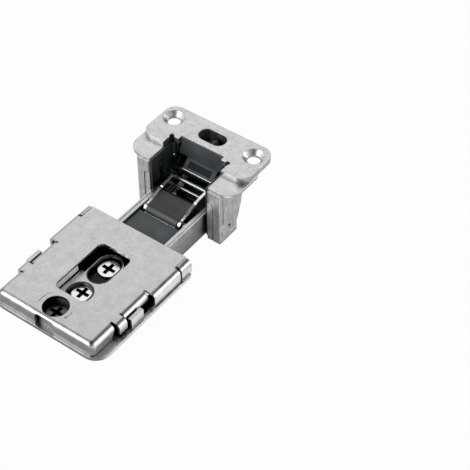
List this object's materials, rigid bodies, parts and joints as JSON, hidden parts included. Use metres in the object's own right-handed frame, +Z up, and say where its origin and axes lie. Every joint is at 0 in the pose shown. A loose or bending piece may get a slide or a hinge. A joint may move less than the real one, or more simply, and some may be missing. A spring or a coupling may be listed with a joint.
{
  "type": "concealed cup hinge",
  "caption": "Concealed furniture hinge: a low mounting plate with a clipped cover, a channel arm and a deep flanged cup joined by folding links, with damped closing.",
  "frame": {"origin": "bottom centre of the whole hinge, opened flat as in the picture", "axes": "+X along the hinge pins, +Y from the mounting plate to the cup, +Z up, away from the faces that the plate and flange sit on"},
  "size_m": [0.048, 0.0998, 0.0266],
  "materials": {
    "die_cast": "satin nickel-plated zinc die casting",
    "sheet_steel": "satin nickel-plated folded sheet steel",
    "bright_steel": "bright nickel-plated steel",
    "dark_steel": "dark pressed steel",
    "black_plastic": "black moulded nylon",
    "cam_zinc": "dark zinc cam"
  },
  "bodies": {
    "mounting_plate": {"base_plate": "sheet_steel", "clip_cover": "sheet_steel"},
    "cam": {"depth_cam": "cam_zinc"},
    "lock_screw": {"locking_screw": "bright_steel"},
    "side_screw": {"side_adjusting_screw": "bright_steel"},
    "arm": {"carriage_plate": "sheet_steel", "slide_plate": "dark_steel", "arm_channel": "sheet_steel", "arm_cover": "black_plastic", "inner_arm_pin": "bright_steel", "outer_arm_pin": "bright_steel"},
    "inner_link": {"inner_link": "bright_steel", "link_cap": "black_plastic", "closing_spring": "bright_steel"},
    "cup": {"cup_housing": "die_cast", "liner_left": "black_plastic", "liner_right": "black_plastic", "liner_rear": "black_plastic", "pin_bracket": "dark_steel", "inner_cup_pin": "bright_steel", "outer_cup_pin": "bright_steel", "damper_cylinder_left": "black_plastic", "damper_cylinder_right": "black_plastic"},
    "outer_link": {"outer_link": "dark_steel"},
    "plunger_left": {"damper_plunger_left": "black_plastic"},
    "plunger_right": {"damper_plunger_right": "black_plastic"},
    "switch": {"damper_switch": "black_plastic"}
  },
  "joints": [
    {"name": "depth_cam_turn", "type": "hinge", "parent": "mounting_plate", "child": "cam", "pos_m": [0, -0.04285, 0.0088], "axis": [0, 0, 1], "range_deg": [-60.05, 60.05]},
    {"name": "locking_screw_turn", "type": "hinge", "parent": "mounting_plate", "child": "lock_screw", "pos_m": [0, -0.02995, 0.0088], "axis": [0, 0, 1], "range_deg": [-180, 180]},
    {"name": "side_screw_turn", "type": "hinge", "parent": "mounting_plate", "child": "side_screw", "pos_m": [0, -0.01625, 0.0088], "axis": [0, 0, 1], "range_deg": [-180, 180]},
    {"name": "depth_slide", "type": "slide", "parent": "mounting_plate", "child": "arm", "axis": [0, 1, 0], "range_m": [-0.00104, 0.00104]},
    {"name": "inner_link_swing", "type": "hinge", "parent": "arm", "child": "inner_link", "pos_m": [0, 0.01505, 0.0094], "axis": [1, 0, 0], "range_deg": [-8.02, 0]},
    {"name": "cup_fold", "type": "hinge", "parent": "inner_link", "child": "cup", "pos_m": [0, 0.03175, 0.0118], "axis": [1, 0, 0], "range_deg": [0, 98]},
    {"name": "outer_link_swing", "type": "hinge", "parent": "cup", "child": "outer_link", "pos_m": [0, 0.03555, 0.01263], "axis": [1, 0, 0], "range_deg": [-62.4, 0]},
    {"name": "left_damper_press", "type": "slide", "parent": "cup", "child": "plunger_left", "axis": [0, 0, -1], "range_m": [0, 0.0035], "stiffness_N_per_m": 60, "springref_m": -0.0005},
    {"name": "right_damper_press", "type": "slide", "parent": "cup", "child": "plunger_right", "axis": [0, 0, -1], "range_m": [0, 0.0035], "stiffness_N_per_m": 60, "springref_m": -0.0005},
    {"name": "damper_switch_slide", "type": "slide", "parent": "cup", "child": "switch", "axis": [1, 0, 0], "range_m": [-0.00175, 0.00175]}
  ],
  "couplings": [
    {"joint": "depth_cam_turn", "follows": "depth_slide", "rad_per_m": 1007.7},
    {"joint": "inner_link_swing", "follows": "cup_fold", "ratio": -0.081633},
    {"joint": "outer_link_swing", "follows": "cup_fold", "ratio": -0.63571},
    {"joint": "right_damper_press", "follows": "left_damper_press", "ratio": 1}
  ]
}
